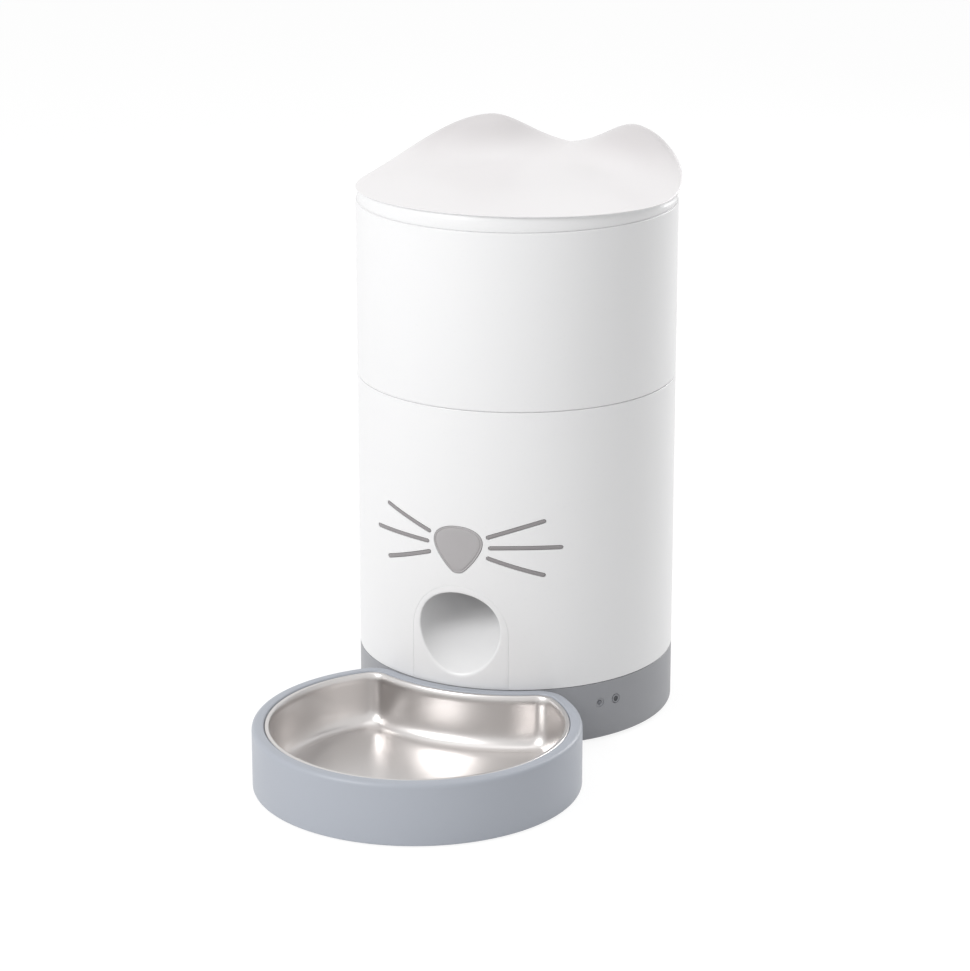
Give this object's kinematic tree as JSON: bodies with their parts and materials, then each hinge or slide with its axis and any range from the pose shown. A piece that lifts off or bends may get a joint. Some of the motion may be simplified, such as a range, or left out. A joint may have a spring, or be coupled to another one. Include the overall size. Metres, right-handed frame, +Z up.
{
  "type": "automatic pet feeder",
  "caption": "Free-standing automatic feeder for cats and small dogs: round tower with an eared lid, food hopper, metering rotor, front outlet and a steel dish in a nesting holder.",
  "frame": {"origin": "on the floor, below the middle of the whole feeder with its bowl", "axes": "+Z up; the bowl and the food outlet face -Y; the tower's axis is upright at y = 0.07815"},
  "size_m": [0.1904, 0.3464, 0.3431],
  "materials": {
    "white_plastic": "satin gloss",
    "lid_plastic": "satin gloss",
    "pale_plastic": "matt",
    "grey_plastic": "satin",
    "nose_plastic": "matt",
    "whisker_plastic": "matt",
    "dark_plastic": "satin",
    "gear_plastic": "satin",
    "clear_plastic": "clear",
    "black_rubber": "matt",
    "brushed_steel": "brushed",
    "steel": "plated",
    "motor_casing": "plated",
    "brass": "satin",
    "circuit_board": "satin",
    "cell_wrap": "printed film",
    "pack_paper": "paper"
  },
  "bodies": {
    "tower": {"base_shell": "grey_plastic", "base_foot_1": "black_rubber", "base_foot_2": "black_rubber", "base_foot_3": "black_rubber", "base_foot_4": "black_rubber", "base_screw_1": "steel", "base_screw_2": "steel", "base_screw_3": "steel", "base_screw_4": "steel", "lower_shell": "white_plastic", "mouth_panel": "white_plastic", "nose_inlay": "nose_plastic", "whisker_upper_left": "whisker_plastic", "whisker_upper_right": "whisker_plastic", "whisker_middle_left": "whisker_plastic", "whisker_middle_right": "whisker_plastic", "whisker_lower_left": "whisker_plastic", "whisker_lower_right": "whisker_plastic", "metering_deck": "pale_plastic", "deck_screw_1": "steel", "deck_screw_2": "steel", "deck_screw_3": "steel", "outlet_guard": "pale_plastic", "shaft_bush": "brass", "motor_bracket": "steel", "bracket_screw_1": "steel", "bracket_screw_2": "steel", "bracket_screw_3": "steel", "gear_motor": "motor_casing", "status_light": "clear_plastic", "key_board": "circuit_board", "control_board": "circuit_board", "power_inlet": "dark_plastic", "battery_tray": "dark_plastic", "battery_cell_1": "cell_wrap", "battery_cell_2": "cell_wrap", "battery_cell_3": "cell_wrap", "battery_cell_4": "cell_wrap", "battery_contact_front": "steel", "battery_contact_rear": "steel"},
    "hopper": {"hopper_shell": "white_plastic", "hopper_funnel": "pale_plastic"},
    "lid": {"lid_shell": "lid_plastic", "lid_liner": "pale_plastic", "lid_seal": "black_rubber", "desiccant_pack": "pack_paper"},
    "desiccant_cap": {"desiccant_cap": "pale_plastic"},
    "rotor": {"dispensing_rotor": "grey_plastic", "stirrer": "grey_plastic", "drive_shaft": "steel", "rotor_gear": "gear_plastic"},
    "pinion": {"drive_pinion": "brass"},
    "button": {"feed_button": "dark_plastic"},
    "battery_door": {"battery_door": "grey_plastic"},
    "bowl": {"bowl_holder": "grey_plastic", "bowl_pad_1": "black_rubber", "bowl_pad_2": "black_rubber", "bowl_pad_3": "black_rubber"},
    "dish": {"steel_dish": "brushed_steel"}
  },
  "joints": [
    {"name": "hopper_lift", "type": "slide", "parent": "tower", "child": "hopper", "axis": [0, 0, 1], "range_m": [0, 0.08]},
    {"name": "lid_lift", "type": "slide", "parent": "hopper", "child": "lid", "axis": [0, 0, 1], "range_m": [0, 0.06]},
    {"name": "desiccant_cap_turn", "type": "hinge", "parent": "lid", "child": "desiccant_cap", "pos_m": [0, 0.07815, 0.291], "axis": [0, 0, 1], "range_deg": [0, 30]},
    {"name": "rotor_turn", "type": "hinge", "parent": "tower", "child": "rotor", "pos_m": [0, 0.07815, 0.1216], "axis": [0, 0, 1], "continuous": true},
    {"name": "pinion_turn", "type": "hinge", "parent": "tower", "child": "pinion", "pos_m": [0, 0.10545, 0.103], "axis": [0, 0, 1], "continuous": true},
    {"name": "button_press", "type": "slide", "parent": "tower", "child": "button", "axis": [-0.8634, 0.5045, 0], "range_m": [0, 0.0008], "stiffness_N_per_m": 1000},
    {"name": "battery_door_drop", "type": "slide", "parent": "tower", "child": "battery_door", "axis": [0, 0, -1], "range_m": [0, 0.03]},
    {"name": "bowl_slide", "type": "slide", "parent": "tower", "child": "bowl", "axis": [0, -1, 0], "range_m": [0, 0.06]},
    {"name": "dish_lift", "type": "slide", "parent": "bowl", "child": "dish", "axis": [0, 0, 1], "range_m": [0, 0.05]}
  ],
  "couplings": [
    {"joint": "pinion_turn", "follows": "rotor_turn", "ratio": -2.5}
  ]
}
